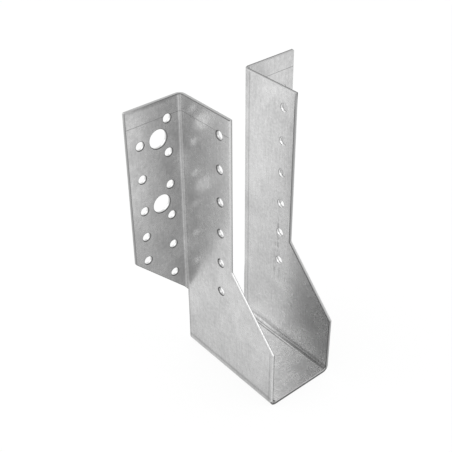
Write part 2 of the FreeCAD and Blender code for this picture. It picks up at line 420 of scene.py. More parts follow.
@dataclass(frozen=True)
class EdgeBands:
    """How the dark and light bands of the cut edges and bores lie across the sheet's thickness.

    A blade or a punch leaves a dark strip near one face and a lighter one near the other, and their widths
    differ from edge to edge. The bands are also shifted side by side as painted light and shade: lighter
    where an edge or bore faces the lamps, darker where it is turned away. Margins, lifts and starts shift a
    depth, and reaches and rises stretch it. A cover says how far from its edge a rounding is looked for, in
    widths of the rounding.
    """

    sizes: StripSizes
    edge_round: float
    top_cover: float = 1.01
    front_cover: float = 1.5
    slope_cover: float = 2.25
    seat_break: float = 0.7
    right_top_margin: float = 0.25
    right_flange_top_margin: float = 0.31
    left_top_margin: float = 0.1
    left_top_reach: float = 0.6
    left_rim_lift: float = 0.24
    neck_lift: float = 0.15
    flange_margin: float = 0.22
    flange_reach: float = 0.5
    right_flange_least: float = 0.8
    lit_bore_start: float = 0.235
    lit_bore_rise: float = 1.85
    shaded_bore_reach: float = 0.8

    def is_top(self, place: Vector) -> bool:
        """Tell whether a place lies on a top end or its rounding."""
        return place.z > self.sizes.height - self.top_cover * self.edge_round

    def is_front(self, place: Vector) -> bool:
        """Tell whether a place lies on the front edge of the seat, the slopes or the upper walls.

        Args:
            place: A place on a cut edge.

        Returns:
            Whether it does.
        """
        s = self.sizes
        risen = clamp((place.z - s.seat_corner_height) / (s.neck_height - s.seat_corner_height))
        edge = s.front + (s.neck_front - s.front) * risen
        return place.y < edge + self.front_cover * self.edge_round

    def is_flange_outline(self, place: Vector) -> bool:
        """Tell whether a place lies on a flange's upright or sloping edge.

        Args:
            place: A place on a cut edge.

        Returns:
            Whether it does.
        """
        s = self.sizes
        aside = abs(place.x)
        is_upright = aside > s.half_width - self.front_cover * self.edge_round
        is_sloping = place.z < s.slope_height(aside) + self.slope_cover * self.edge_round
        return aside > s.fold_end and (is_upright or is_sloping)

    def on_top(self, point: SheetPoint) -> float:
        """Fit the depth of a point on a top end.

        Args:
            point: The point.

        Returns:
            Its place in the bands.
        """
        s = self.sizes
        if point.place.x > 0:
            turned = clamp((point.across - s.bend_line) / s.bend_length)
            on_wall = point.depth - self.right_top_margin
            on_flange = 1 - point.depth - self.right_flange_top_margin
            return (1 - turned) * on_wall + turned * on_flange
        if point.place.z > s.height - FLUSH:
            return self.left_top_margin + self.left_top_reach * point.depth
        outward = max(0.0, -point.place.x - s.fold_end) / (s.half_width - s.fold_end)
        return point.depth + self.left_rim_lift * outward

    def on_front(self, point: SheetPoint) -> float:
        """Fit the depth of a point on the front edge.

        Args:
            point: The point.

        Returns:
            Its place in the bands.
        """
        if abs(point.along) < self.sizes.wall_middle:
            return (point.depth - self.seat_break) / (1 - self.seat_break)
        if point.place.x < 0:
            return point.depth
        lift = self.neck_lift if point.place.z > self.sizes.neck_height else 0.0
        return 1 - point.depth + lift

    def on_edge(self, point: SheetPoint) -> float:
        """Fit the depth of a point on any sheared edge.

        Args:
            point: The point.

        Returns:
            Its place in the bands.
        """
        if self.is_top(point.place):
            return self.on_top(point)
        if self.is_front(point.place):
            return self.on_front(point)
        if self.is_flange_outline(point.place):
            return self.flange_margin + self.flange_reach * point.depth
        if point.place.x > self.sizes.fold_end:
            return max(point.depth, self.right_flange_least)
        return point.depth

    def on_bore(self, point: SheetPoint) -> float:
        """Fit the depth of a point on a bore: painted shade on the left side, painted light on the right
        wall.

        Args:
            point: The point.

        Returns:
            Its place in the bands.
        """
        if point.place.x < 0:
            return point.depth * self.shaded_bore_reach
        if point.place.y < self.sizes.bend_line:
            return point.depth * self.lit_bore_rise - self.lit_bore_start
        return max(point.depth, self.right_flange_least)


@dataclass
class FoldedStrip:
    """The hanger's sheet, folded at the middle of its thickness and then thickened, punched and scored.

    The flare is where the lower wall's back edge, the lip, leans out to meet the flange's bend. Edges sharper
    than one angle are rounded, and faces that meet at less than the other are shaded smooth. A face counts as
    outside when its normal follows the outward diagonal by at least the given share.
    """

    sizes: StripSizes
    holes: HoleLayout
    fold_steps: int = 12
    lip_steps: int = 4
    flare_steps: int = 6
    flare_start: float = 27.0 * MM
    hole_sides: int = 40
    flange_punch: float = 8.0 * MM
    edge_round: float = 0.45 * MM
    edge_facets: int = 3
    rim_round: float = 0.34 * MM
    rim_facets: int = 2
    score_drop: float = 9.75 * MM
    score_width: float = 0.25 * MM
    score_depth: float = 0.07 * MM
    outward_least: float = 0.9
    sharp_from: float = math.radians(40)
    smooth_to: float = math.radians(50)
    flat_weight: int = 100
    weld: float = FLUSH
    seam: float = 2 * FLUSH
    cut_tolerance: float = FLUSH / 10
    piece: Piece | None = None

    def build(self) -> Piece:
        """Make the whole sheet.

        Returns:
            The finished mesh object, at the origin.
        """
        self.lay_seat()
        self.fold_wall()
        self.shear_front()
        self.draw_lip()
        self.fold_flange()
        self.flare_lip()
        self.thicken()
        self.round_edges()
        self.sort_cuts()
        self.punch()
        self.round_rims()
        self.score()
        self.settle_normals()
        self.map_blank()
        return self.piece

    @property
    def lip_top(self) -> float:
        """Height at mid-thickness where the lip ends and the flange starts."""
        return self.sizes.slope_height(self.sizes.wall_middle)

    def near(self, value: float, target: float) -> bool:
        """Tell whether a coordinate lies at a place, within the weld distance."""
        return abs(value - target) < self.weld

    def is_wall(self, corners: Corners) -> bool:
        """Tell whether an element lies in the wall's plane."""
        return all(self.near(p.x, self.sizes.wall_middle) for p in corners)

    def extrude(self, step: Vector) -> None:
        """Draw the selected edges out by a step."""
        bpy.ops.mesh.extrude_region_move(TRANSFORM_OT_translate={"value": step})

    def face_out(self) -> None:
        """Point every face of the mesh in edit mode outwards, and leave edit mode."""
        bpy.ops.mesh.normals_make_consistent(inside=False)
        bpy.ops.object.mode_set(mode="OBJECT")

    def cut(self, point: Vector, normal: Vector) -> None:
        """Cut the selected faces along a plane."""
        bpy.ops.mesh.bisect(plane_co=point, plane_no=normal, threshold=self.cut_tolerance)

    def shear(self, point: Vector, normal: Vector, region: Callable[[Corners], bool]) -> None:
        """Cut a region along a plane and drop what lies on the side that the normal points to.

        Args:
            point: A point of the plane.
            normal: Its direction, towards the waste.
            region: Says which faces are cut.
        """
        pick(self.piece, Element.FACE, region)
        self.cut(point, normal)
        pick(
            self.piece,
            Element.FACE,
            lambda c: region(c) and all((p - point).dot(normal) > -self.weld for p in c),
        )
        bpy.ops.mesh.delete(type="FACE")

    def lay_seat(self) -> None:
        """Lay the right half of the flat seat, from its middle line to the seat bend."""
        s = self.sizes
        depth = s.bend_line - s.front
        middle = (s.seat_flat / 2, s.front + depth / 2, s.sheet / 2)
        deselect_all()
        bpy.ops.mesh.primitive_plane_add(size=1, location=middle)
        self.piece = bpy.context.object
        self.piece.name = "folded_sheet"
        bpy.ops.object.mode_set(mode="EDIT")
        bpy.ops.mesh.select_all(action="SELECT")
        bpy.ops.transform.resize(value=(s.seat_flat, depth, 1))
        bpy.ops.object.mode_set(mode="OBJECT")
        bpy.ops.object.transform_apply(location=True, rotation=True, scale=True)
        bpy.ops.object.mode_set(mode="EDIT")

    def fold_wall(self) -> None:
        """Turn the seat's outer edge up through the bend and draw the wall to its top."""
        s = self.sizes
        axis = (s.seat_flat, 0, s.seat_rise)
        pick(self.piece, Element.EDGE, lambda c: all(self.near(p.x, s.seat_flat) for p in c))
        bpy.ops.mesh.spin(steps=self.fold_steps, angle=QUARTER_TURN, center=axis, axis=(0, 1, 0))
        pick(self.piece, Element.EDGE, lambda c: all(self.near(p.z, s.seat_rise) for p in c))
        self.extrude(Vector((0, 0, s.height - s.seat_rise)))

    def shear_front(self) -> None:
        """Shear the wall's front edge: upright at the neck, then sloping forward to the seat."""
        s = self.sizes
        pick(self.piece, Element.FACE, self.is_wall)
        self.cut(Vector((0, s.neck_front, 0)), Vector((0, 1, 0)))
        neck = Vector((0, s.neck_front, s.neck_height))
        along = neck - Vector((0, s.front, s.seat_corner_height))
        self.shear(
            neck,
            Vector((0, -along.z, along.y)).normalized(),
            lambda c: self.is_wall(c) and all(p.y < s.neck_front + self.weld for p in c),
        )

    def draw_lip(self) -> None:
        """Draw the seat's, bend's and lower wall's back edge out to where the sheet ends below the flange."""
        s = self.sizes
        for step in range(self.flare_steps + 1):
            height = self.flare_start + (self.lip_top - self.flare_start) * step / self.flare_steps
            pick(
                self.piece,
                Element.FACE,
                lambda c: self.is_wall(c) and any(p.y > s.bend_line - self.weld for p in c),
            )
            self.cut(Vector((0, 0, height)), Vector((0, 0, 1)))
        stride = (s.lip_back - s.bend_line) / self.lip_steps
        for step in range(self.lip_steps):
            back = s.bend_line + step * stride
            pick(
                self.piece,
                Element.EDGE,
                lambda c: all(self.near(p.y, back) and p.z < self.lip_top + self.weld for p in c),
            )
            self.extrude(Vector((0, stride, 0)))

    def fold_flange(self) -> None:
        """Turn the wall's back edge outward above the lip, draw the flange and shear its sloping edge."""
        s = self.sizes
        top = self.lip_top
        axis = (s.fold_end, s.bend_line, 0)
        lip_turn = (s.lip_back - s.bend_line) / s.middle_radius
        pick(
            self.piece,
            Element.EDGE,
            lambda c: self.is_wall(c)
            and all(self.near(p.y, s.bend_line) and p.z > top - self.weld for p in c),
        )
        turns = ((self.lip_steps, lip_turn), (self.fold_steps - self.lip_steps, QUARTER_TURN - lip_turn))
        for steps, angle in turns:
            bpy.ops.mesh.spin(steps=steps, angle=angle, center=axis, axis=(0, 0, 1))
        self.extrude(Vector((s.half_width - s.fold_end, 0, 0)))
        self.shear(
            Vector((s.wall_middle, 0, top)),
            Vector((s.slope, 0, -1)).normalized(),
            lambda c: all(p.y > s.bend_line - self.weld for p in c)
            and any(p.z > top + self.weld for p in c),
        )

    def flare_lip(self) -> None:
        """Ease the lower wall's back edge into the flange bend, as the sheet twists there, and weld them."""
        s = self.sizes
        bpy.ops.object.mode_set(mode="OBJECT")
        for vertex in self.piece.data.vertices:
            place = vertex.co
            reach = place.y - s.bend_line
            is_lip = reach >= self.weld and place.z <= self.lip_top + self.weld
            if not is_lip or not self.near(place.x, s.wall_middle):
                continue
            turn = reach / s.middle_radius
            aside = s.middle_radius * (1 - math.cos(turn))
            ahead = s.middle_radius * math.sin(turn) - reach
            share = smooth_step((place.z - self.flare_start) / (self.lip_top - self.flare_start))
            vertex.co = place + share * Vector((aside, ahead, aside * s.slope))
        bpy.ops.object.mode_set(mode="EDIT")
        bpy.ops.mesh.select_all(action="SELECT")
        bpy.ops.mesh.remove_doubles(threshold=self.seam)
        self.face_out()

    def thicken(self) -> None:
        """Mirror the half strip and give the sheet its thickness, with a material for its sheared edges."""
        for layer in Layer:
            self.piece.data.materials.append(bpy.data.materials.new(layer.name.lower()))
        apply_modifier(
            self.piece,
            "MIRROR",
            {"use_clip": True, "use_mirror_merge": True, "merge_threshold": self.weld},
        )
        apply_modifier(
            self.piece,
            "SOLIDIFY",
            {
                "thickness": self.sizes.sheet,
                "offset": 0.0,
                "use_even_offset": True,
                "use_quality_normals": True,
                "material_offset_rim": Layer.CUT.value,
            },
        )
        bpy.ops.object.mode_set(mode="EDIT")
        bpy.ops.mesh.select_all(action="SELECT")
        self.face_out()

    def round_off(self, width: float, facets: int, where: dict[str, Any]) -> None:
        """Round some of the sheet's edges.

        Args:
            width: How far the rounding reaches from the corner.
            facets: Facets across it.
            where: The modifier's settings that say which edges.
        """
        shape = {"width": width, "segments": facets, "material": Layer.CUT.value}
        apply_modifier(self.piece, "BEVEL", shape | where)

    def round_edges(self) -> None:
        """Round the sharp edges, as a press leaves them."""
        where = {"limit_method": "ANGLE", "angle_limit": self.sharp_from, "use_clamp_overlap": True}
        self.round_off(self.edge_round, self.edge_facets, where)

    def round_rims(self) -> None:
        """Round the rims of the holes, where a bore meets a face of the sheet."""
        mesh = self.piece.data
        beside: dict[tuple[int, int], set[int]] = {}
        for face in mesh.polygons:
            for key in face.edge_keys:
                beside.setdefault(key, set()).add(face.material_index)
        weights = mesh.attributes.new("bevel_weight_edge", "FLOAT", "EDGE")
        for edge in mesh.edges:
            places = beside[edge.key]
            weights.data[edge.index].value = float(Layer.HOLE.value in places and len(places) > 1)
        where = {"limit_method": "WEIGHT", "use_clamp_overlap": False}
        self.round_off(self.rim_round, self.rim_facets, where)

    def sort_cuts(self) -> None:
        """Tell the cropped top ends and the left wall's front edges from the other sheared edges."""
        s = self.sizes
        bands = EdgeBands(s, self.edge_round)
        for face in self.piece.data.polygons:
            place = face.center
            if face.material_index != Layer.CUT.value:
                continue
            on_left_wall = place.x < -s.inner_width / 2 and place.z > s.seat_rise
            if bands.is_top(place):
                face.material_index = Layer.CROP.value
            # The left wall's front edges take lit copies of the sheared steel, as painted light and shade.
            elif on_left_wall and place.y < s.neck_front + self.edge_round:
                is_sloping = s.seat_corner_height < place.z < s.neck_height
                face.material_index = Layer.LIT_SLOPE.value if is_sloping else Layer.LIT_UPRIGHT.value

    def make_punch(self, axis: Vector, diameter: float, length: float) -> Piece:
        """Make one round punch at the origin.

        Args:
            axis: Direction that it runs in.
            diameter: Its diameter.
            length: Its whole length.

        Returns:
            The cylinder object.
        """
        deselect_all()
        turn = axis.to_track_quat("Z", "Y").to_euler()
        bpy.ops.mesh.primitive_cylinder_add(
            vertices=self.hole_sides, radius=diameter / 2, depth=length, location=(0, 0, 0), rotation=turn
        )
        punch = bpy.context.object
        for layer in Layer:
            punch.data.materials.append(self.piece.data.materials[layer.value])
        for face in punch.data.polygons:
            face.material_index = Layer.HOLE.value
        return punch

    def set_punches(self) -> list[Piece]:
        """Set a copy of the right punch at every nail and bolt hole.

        Returns:
            The copies, each with its own mesh.
        """
        s = self.sizes
        through_walls = self.make_punch(Vector((1, 0, 0)), self.holes.nail, 2 * s.half_width)
        through_flange = {
            diameter: self.make_punch(Vector((0, 1, 0)), diameter, self.flange_punch)
            for diameter in (self.holes.nail, self.holes.bolt)
        }
        column = s.neck_front + self.holes.wall_column_edge
        spots = [(through_walls, (0, column, height)) for height in self.holes.wall_heights(s)]
        for side in (-1, 1):
            for hole in self.holes.flange_holes(s):
                place = (side * hole.aside, s.header - s.sheet / 2, hole.height)
                spots.append((through_flange[hole.diameter], place))
        copies = []
        for punch, place in spots:
            copy = punch.copy()
            copy.data = punch.data.copy()
            copy.location = place
            bpy.context.scene.collection.objects.link(copy)
            copies.append(copy)
        for punch in (through_walls, *through_flange.values()):
            bpy.data.objects.remove(punch)
        return copies

    def punch(self) -> None:
        """Punch every nail and bolt hole at once."""
        copies = self.set_punches()
        make_active(copies[0])
        for copy in copies:
            copy.select_set(True)
        bpy.context.view_layer.update()
        bpy.ops.object.join()
        punches = bpy.context.object
        apply_modifier(
            self.piece,
            "BOOLEAN",
            {"operation": "DIFFERENCE", "solver": "EXACT", "object": punches, "material_mode": "INDEX"},
        )
        bpy.data.objects.remove(punches)

    def score(self) -> None:
        """Press the fine line that runs round the outside of the sheet, just below its top edge."""
        middle = self.sizes.height - self.score_drop
        make_active(self.piece)
        bpy.ops.object.mode_set(mode="EDIT")
        for height in (middle - self.score_width / 2, middle + self.score_width / 2):
            bpy.ops.mesh.select_mode(type=Element.FACE.value)
            bpy.ops.mesh.select_all(action="SELECT")
            self.cut(Vector((0, 0, height)), Vector((0, 0, 1)))
        bpy.ops.mesh.select_all(action="DESELECT")
        mesh = bmesh.from_edit_mesh(self.piece.data)
        for face in mesh.faces:
            centre = face.calc_center_median()
            outward = Vector((math.copysign(1, centre.x), -1, 0))
            is_outside = face.normal.dot(outward) > self.outward_least
            on_line = abs(centre.z - middle) < self.score_width / 2
            if on_line and is_outside and face.material_index == Layer.FACE.value:
                face.select_set(True)
        bmesh.update_edit_mesh(self.piece.data)
        bpy.ops.mesh.extrude_region_shrink_fatten(TRANSFORM_OT_shrink_fatten={"value": -self.score_depth})
        bpy.context.object.active_material_index = Layer.SCORE.value
        bpy.ops.object.material_slot_assign()
        bpy.ops.object.mode_set(mode="OBJECT")

    def settle_normals(self) -> None:
        """Shade the bends and rounded edges smooth and keep the flat faces flat."""
        make_active(self.piece)
        bpy.ops.object.shade_smooth_by_angle(angle=self.smooth_to)
        weighting = {"mode": "FACE_AREA", "weight": self.flat_weight, "keep_sharp": True}
        apply_modifier(self.piece, "WEIGHTED_NORMAL", weighting)

    def unfold(self, place: Vector) -> SheetPoint:
        """Find where a place on the folded sheet lay on the flat blank.

        Args:
            place: A place on the sheet.

        Returns:
            The point, with its place on the blank and its depth in the sheet.
        """
        s = self.sizes
        aside = abs(place.x)
        beyond, risen = aside - s.seat_flat, s.seat_rise - place.z
        if place.z >= s.seat_rise:
            along = s.seat_flat + s.bend_length - risen
            outward = aside - s.wall_middle
        elif beyond <= 0:
            along = aside
            outward = s.sheet / 2 - place.z
        else:
            along = s.seat_flat + s.middle_radius * math.atan2(beyond, risen)
            outward = math.hypot(beyond, risen) - s.middle_radius
        behind, before = place.y - s.bend_line, s.fold_end - aside
        if behind <= 0 or place.z < s.flange_root_height - s.sheet:
            across = place.y
        elif before <= 0:
            across = s.bend_line + s.bend_length - before
            outward = s.header - s.sheet / 2 - place.y
        else:
            across = s.bend_line + s.middle_radius * math.atan2(behind, before)
            outward = s.middle_radius - math.hypot(behind, before)
        return SheetPoint(place, math.copysign(along, place.x), across, MID_DEPTH - outward / s.sheet)

    def map_blank(self) -> None:
        """Lay a map in metres of the flat blank on the sheet, and note how deep in the sheet each corner is.

        The rolling grain and the painted shade of the bends follow from the first, the bands of the sheared
        edges from the second. A cut face's corners hold their place in those bands instead of their depth.
        """
        mesh = self.piece.data
        mesh.attributes.new(DEPTH_MAP, "FLOAT", "CORNER")
        mesh.attributes.new(BLANK_MAP, "FLOAT2", "CORNER")
        blank, depths = mesh.uv_layers[BLANK_MAP], mesh.attributes[DEPTH_MAP]
        bands = EdgeBands(self.sizes, self.edge_round)
        points = [self.unfold(vertex.co) for vertex in mesh.vertices]
        bore_faces = [face for face in mesh.polygons if face.material_index == Layer.HOLE.value]
        bores = {index for face in bore_faces for index in face.vertices}
        for face in mesh.polygons:
            is_cut = face.material_index not in (Layer.FACE.value, Layer.SCORE.value)
            for corner, index in zip(face.loop_indices, face.vertices):
                point = points[index]
                depth = point.depth
                if is_cut:
                    depth = bands.on_bore(point) if index in bores else bands.on_edge(point)
                blank.data[corner].uv = point.along, point.across
                depths.data[corner].value = depth
        mesh.uv_layers.active = blank


@dataclass(frozen=True)
class Grain:
    """An irregular pattern in a surface, drawn out where its length and width differ."""

    length: float
    width: float
    detail: float = 3.0
    roughness: float = 0.6

    def pattern(self, tree: Tree, place: Socket) -> Socket:
        """Add the pattern's nodes.

        Args:
            tree: Node tree to add to.
            place: Where on the object or the blank, in metres.

        Returns:
            The value socket.
        """
        scale = (1 / self.length, 1 / self.width, 1 / self.width)
        drawn = add_node(tree, "ShaderNodeMapping", values={"Scale": scale}, links={"Vector": place})
        return add_node(
            tree,
            "ShaderNodeTexNoise",
            values={"Scale": 1.0, "Detail": self.detail, "Roughness": self.roughness},
            links={"Vector": drawn.outputs["Vector"]},
        ).outputs["Fac"]


@dataclass(frozen=True)
class BendShade:
    """Painted shade across a fold, in tones multiplied with the sheet's own.

    The stops give a distance on the flat blank, in millimetres, and a grey. White leaves the sheet as it is.
    """

    stops: tuple[tuple[float, str], ...]

    def tone(self, tree: Tree, distance: Socket) -> Socket:
        """Add the mark's nodes.

        Args:
            tree: Node tree to add to.
            distance: Distance on the blank, in metres.

        Returns:
            The colour socket.
        """
        first, last = self.stops[0][0], self.stops[-1][0]
        share = add_node(
            tree,
            "ShaderNodeMapRange",
            values={"From Min": first * MM, "From Max": last * MM},
            links={"Value": distance},
        ).outputs["Result"]
        stops = [((place - first) / (last - first), code) for place, code in self.stops]
        return add_node(tree, "ShaderNodeValToRGB", links={"Fac": share}, stops=stops).outputs["Color"]


@dataclass(frozen=True)
class DarkerPatch:
    """A soft oval where the sheet's colour is a little darker.

    The place and size are on the flat blank: along the strip from the seat's middle, right side positive, and
    across it. The tone is multiplied with the sheet's own, and is full inside the core, a share of the oval.
    """

    along: float
    across: float
    length: float
    width: float
    tone: str
    inside: bool = True
    core: float = 0.35

    def mask(self, tree: Tree, blank: Socket) -> Socket:
        """Add nodes that rise from 0 to 1 on the patch.

        Args:
            tree: Node tree to add to.
            blank: The blank map's vector socket.

        Returns:
            The mask socket.
        """
        placed = add_node(
            tree,
            "ShaderNodeMapping",
            {"vector_type": "TEXTURE"},
            {"Location": (self.along, self.across, 0), "Scale": (self.length / 2, self.width / 2, 1)},
            {"Vector": blank},
        ).outputs["Vector"]
        reach = add_node(tree, "ShaderNodeVectorMath", {"operation": "LENGTH"}, links={0: placed})
        return add_node(
            tree,
            "ShaderNodeMapRange",
            {"interpolation_type": "SMOOTHSTEP"},
            {"From Min": self.core, "From Max": 1.0, "To Min": 1.0, "To Max": 0.0},
            {"Value": reach.outputs["Value"]},
        ).outputs["Result"]


@dataclass(frozen=True)
class Scuff(DarkerPatch):
    """A broken streak where the folded sheet rubbed against a tool."""

    dash: float = 4.0 * MM
    dash_detail: float = 2.0
    gap_to_dash: tuple[float, float] = (0.42, 0.6)

    def mask(self, tree: Tree, blank: Socket) -> Socket:
        """Add nodes that rise from 0 to 1 on the streak's dashes.

        Args:
            tree: Node tree to add to.
            blank: The blank map's vector socket.

        Returns:
            The mask socket.
        """
        low, high = self.gap_to_dash
        dashes = add_node(
            tree,
            "ShaderNodeMapRange",
            values={"From Min": low, "From Max": high},
            links={"Value": Grain(self.dash, self.width, self.dash_detail).pattern(tree, blank)},
        ).outputs["Result"]
        oval = super().mask(tree, blank)
        both = add_node(tree, "ShaderNodeMath", {"operation": "MULTIPLY"}, links={0: oval, 1: dashes})
        return both.outputs["Value"]


@dataclass(frozen=True)
class Finish:
    """A metal's finish, named for the metal and how its surface was made."""

    name: str

    def start(self, material: bpy.types.Material) -> Tree:
        """Name a material and empty its node tree.

        Args:
            material: The material to dress.

        Returns:
            Its empty node tree.
        """
        material.name = self.name
        material.use_nodes = True
        material.node_tree.nodes.clear()
        return material.node_tree

    def end(self, tree: Tree, values: dict[str | int, Any], links: dict[str | int, Socket]) -> None:
        """Add the metal's shader and the output.

        Args:
            tree: Node tree to add to.
            values: The shader's uniform values by input socket.
            links: What else drives the shader, by input socket.
        """
        metal = {"Metallic": 1.0} | values
        shader = add_node(tree, "ShaderNodeBsdfPrincipled", values=metal, links=links)
        add_node(tree, "ShaderNodeOutputMaterial", links={"Surface": shader.outputs["BSDF"]})


@dataclass(frozen=True)
class GalvanisedFace(Finish):
    """Continuous hot-dip galvanised coil, skin-passed between rollers.

    The eye reads a pale satin metal with small soft mottles, faint streaks in the rolling direction and
    blurred reflections, with none of the large crystals of a slow dip. Each fold is darkened across it as
    painted shade, in thin lines and a broader strip, and soft patches of painted shade lie on the walls, the
    seat and the left flange. A tool's scuffs streak the right wall.

    The mottle and the streaks make the fine grain that also gives the relief. With the clouds it makes one
    pattern, and a pair of its values says where the zinc turns from dark to light or from rough to smooth.
    """

    name: str = "hot_dip_galvanised_steel"
    light: str = "DBDBDB"
    dark: str = "BABABA"
    mottle: Grain = Grain(1.6 * MM, 1.6 * MM, detail=4.0)
    cloud: Grain = Grain(16.0 * MM, 16.0 * MM, roughness=0.55)
    streak: Grain = Grain(14.0 * MM, 0.7 * MM)
    streak_share: float = 0.4
    cloud_share: float = 0.35
    dark_to_light: tuple[float, float] = (0.37, 0.63)
    rough_to_smooth: tuple[float, float] = (0.3, 0.7)
    rough: float = 0.32
    smooth: float = 0.24
    bump: float = 0.008 * MM
    bump_share: float = 0.5
    # Painted shade across the seat bends, inside and outside.
    seat_inside_shade: BendShade = BendShade(
        (
            (18.6, "FFFFFF"),
            (19.35, "F6F6F6"),
            (19.65, "B4B4B4"),
            (20.1, "A2A2A2"),
            (20.8, "C4C4C4"),
            (21.5, "D0D0D0"),
            (22.1, "FFFFFF"),
        )
    )
    seat_outside_shade: BendShade = BendShade(
        (
            (18.0, "FFFFFF"),
            (19.5, "F3F3F3"),
            (22.0, "EDEDED"),
            (24.8, "E7E7E7"),
            (25.4, "CECECE"),
            (26.3, "D6D6D6"),
            (27.4, "F2F2F2"),
            (38.0, "F6F6F6"),
            (56.0, "FFFFFF"),
        )
    )
    # Painted shade across the flange bends, inside and outside.
    flange_inside_shade: BendShade = BendShade(
        (
            (31.6, "FFFFFF"),
            (32.1, "E3E3E3"),
            (32.6, "E3E3E3"),
            (33.0, "FFFFFF"),
            (35.0, "F0F0F0"),
            (37.6, "F0F0F0"),
            (39.6, "FFFFFF"),
        )
    )
    flange_outside_shade: BendShade = BendShade(
        (
            (33.4, "FFFFFF"),
            (34.2, "FFFFFF"),
            (35.2, "E2E2E2"),
            (36.5, "D2D2D2"),
            (37.2, "D6D6D6"),
            (37.7, "FFFFFF"),
            (38.75, "FFFFFF"),
            (39.0, "EDEDED"),
            (45.0, "EDEDED"),
            (54.0, "FFFFFF"),
        )
    )
    scuffs_and_painted_shade: tuple[DarkerPatch, ...] = (
        # Streaks that a tool rubbed along the right wall's lower nail holes.
        Scuff(96.0 * MM, 6.2 * MM, 48.0 * MM, 2.4 * MM, "C6C6C6"),
        Scuff(78.0 * MM, 8.6 * MM, 40.0 * MM, 3.0 * MM, "DCDCDC"),
        Scuff(75.0 * MM, 4.6 * MM, 30.0 * MM, 2.4 * MM, "DCDCDC"),
        # Painted shade on the right wall's lower front corner and on its upper back corner.
        DarkerPatch(48.0 * MM, -38.0 * MM, 58.0 * MM, 64.0 * MM, "F0F0F0"),
        DarkerPatch(186.0 * MM, 30.0 * MM, 44.0 * MM, 26.0 * MM, "F3F3F3"),
        # Painted shade along the seat's right bend: a dark line on the seat where the bend starts, the bend
        # itself towards the front, and the middle and back of the seat.
        DarkerPatch(18.1 * MM, 6.0 * MM, 1.1 * MM, 60.0 * MM, "ACACAC"),
        DarkerPatch(20.6 * MM, -20.0 * MM, 3.4 * MM, 66.0 * MM, "B2B2B2"),
        DarkerPatch(-4.0 * MM, 14.0 * MM, 36.0 * MM, 70.0 * MM, "EDEDED"),
        # Painted shade outside on the left: along the flange's top end, a line along the wall's front edge,
        # and the wall's lower front and upper back corners.
        DarkerPatch(-190.0 * MM, 56.0 * MM, 6.0 * MM, 48.0 * MM, "DADADA", inside=False),
        DarkerPatch(-42.0 * MM, -36.1 * MM, 60.0 * MM, 1.1 * MM, "DEDEDE", inside=False),
        DarkerPatch(-34.0 * MM, -34.0 * MM, 44.0 * MM, 44.0 * MM, "F8F8F8", inside=False),
        DarkerPatch(-186.0 * MM, 26.0 * MM, 40.0 * MM, 26.0 * MM, "F4F4F4", inside=False),
    )

    def marked(self, tree: Tree, blank: Socket, colour: Socket) -> Socket:
        """Add the nodes that lay the painted shade of the bends, the scuffs and the patches of painted shade
        over the zinc.

        Args:
            tree: Node tree to add to.
            blank: The blank map's vector socket.
            colour: The zinc's own colour.

        Returns:
            The marked colour socket.
        """
        parts = add_node(tree, "ShaderNodeSeparateXYZ", links={"Vector": blank})
        along = add_node(tree, "ShaderNodeMath", {"operation": "ABSOLUTE"}, links={0: parts.outputs["X"]})
        depth = add_node(tree, "ShaderNodeAttribute", {"attribute_name": DEPTH_MAP}).outputs["Fac"]
        inner, outer = (
            add_node(tree, "ShaderNodeMath", {"operation": test}, {1: MID_DEPTH}, {0: depth}).outputs["Value"]
            for test in ("GREATER_THAN", "LESS_THAN")
        )
        layers = []
        # Painted shade across the seat bends and the flange bends.
        for distance, outside, inside in (
            (along.outputs["Value"], self.seat_outside_shade, self.seat_inside_shade),
            (parts.outputs["Y"], self.flange_outside_shade, self.flange_inside_shade),
        ):
            tones = {COLOUR_A: outside.tone(tree, distance), COLOUR_B: inside.tone(tree, distance)}
            bend_shade = add_node(tree, "ShaderNodeMix", {"data_type": "RGBA"}, links={SHARE: inner} | tones)
            layers.append(({SHARE: 1.0}, {COLOUR_B: bend_shade.outputs[COLOUR_OUT]}))
        # Scuffs, and soft patches of painted shade.
        for patch in self.scuffs_and_painted_shade:
            cover = {0: inner if patch.inside else outer, 1: patch.mask(tree, blank)}
            share = add_node(tree, "ShaderNodeMath", {"operation": "MULTIPLY"}, links=cover)
            layers.append(({COLOUR_B: linear(patch.tone)}, {SHARE: share.outputs["Value"]}))
        multiply = {"data_type": "RGBA", "blend_type": "MULTIPLY"}
        for values, links in layers:
            mixed = add_node(tree, "ShaderNodeMix", multiply, values, links | {COLOUR_A: colour})
            colour = mixed.outputs[COLOUR_OUT]
        return colour

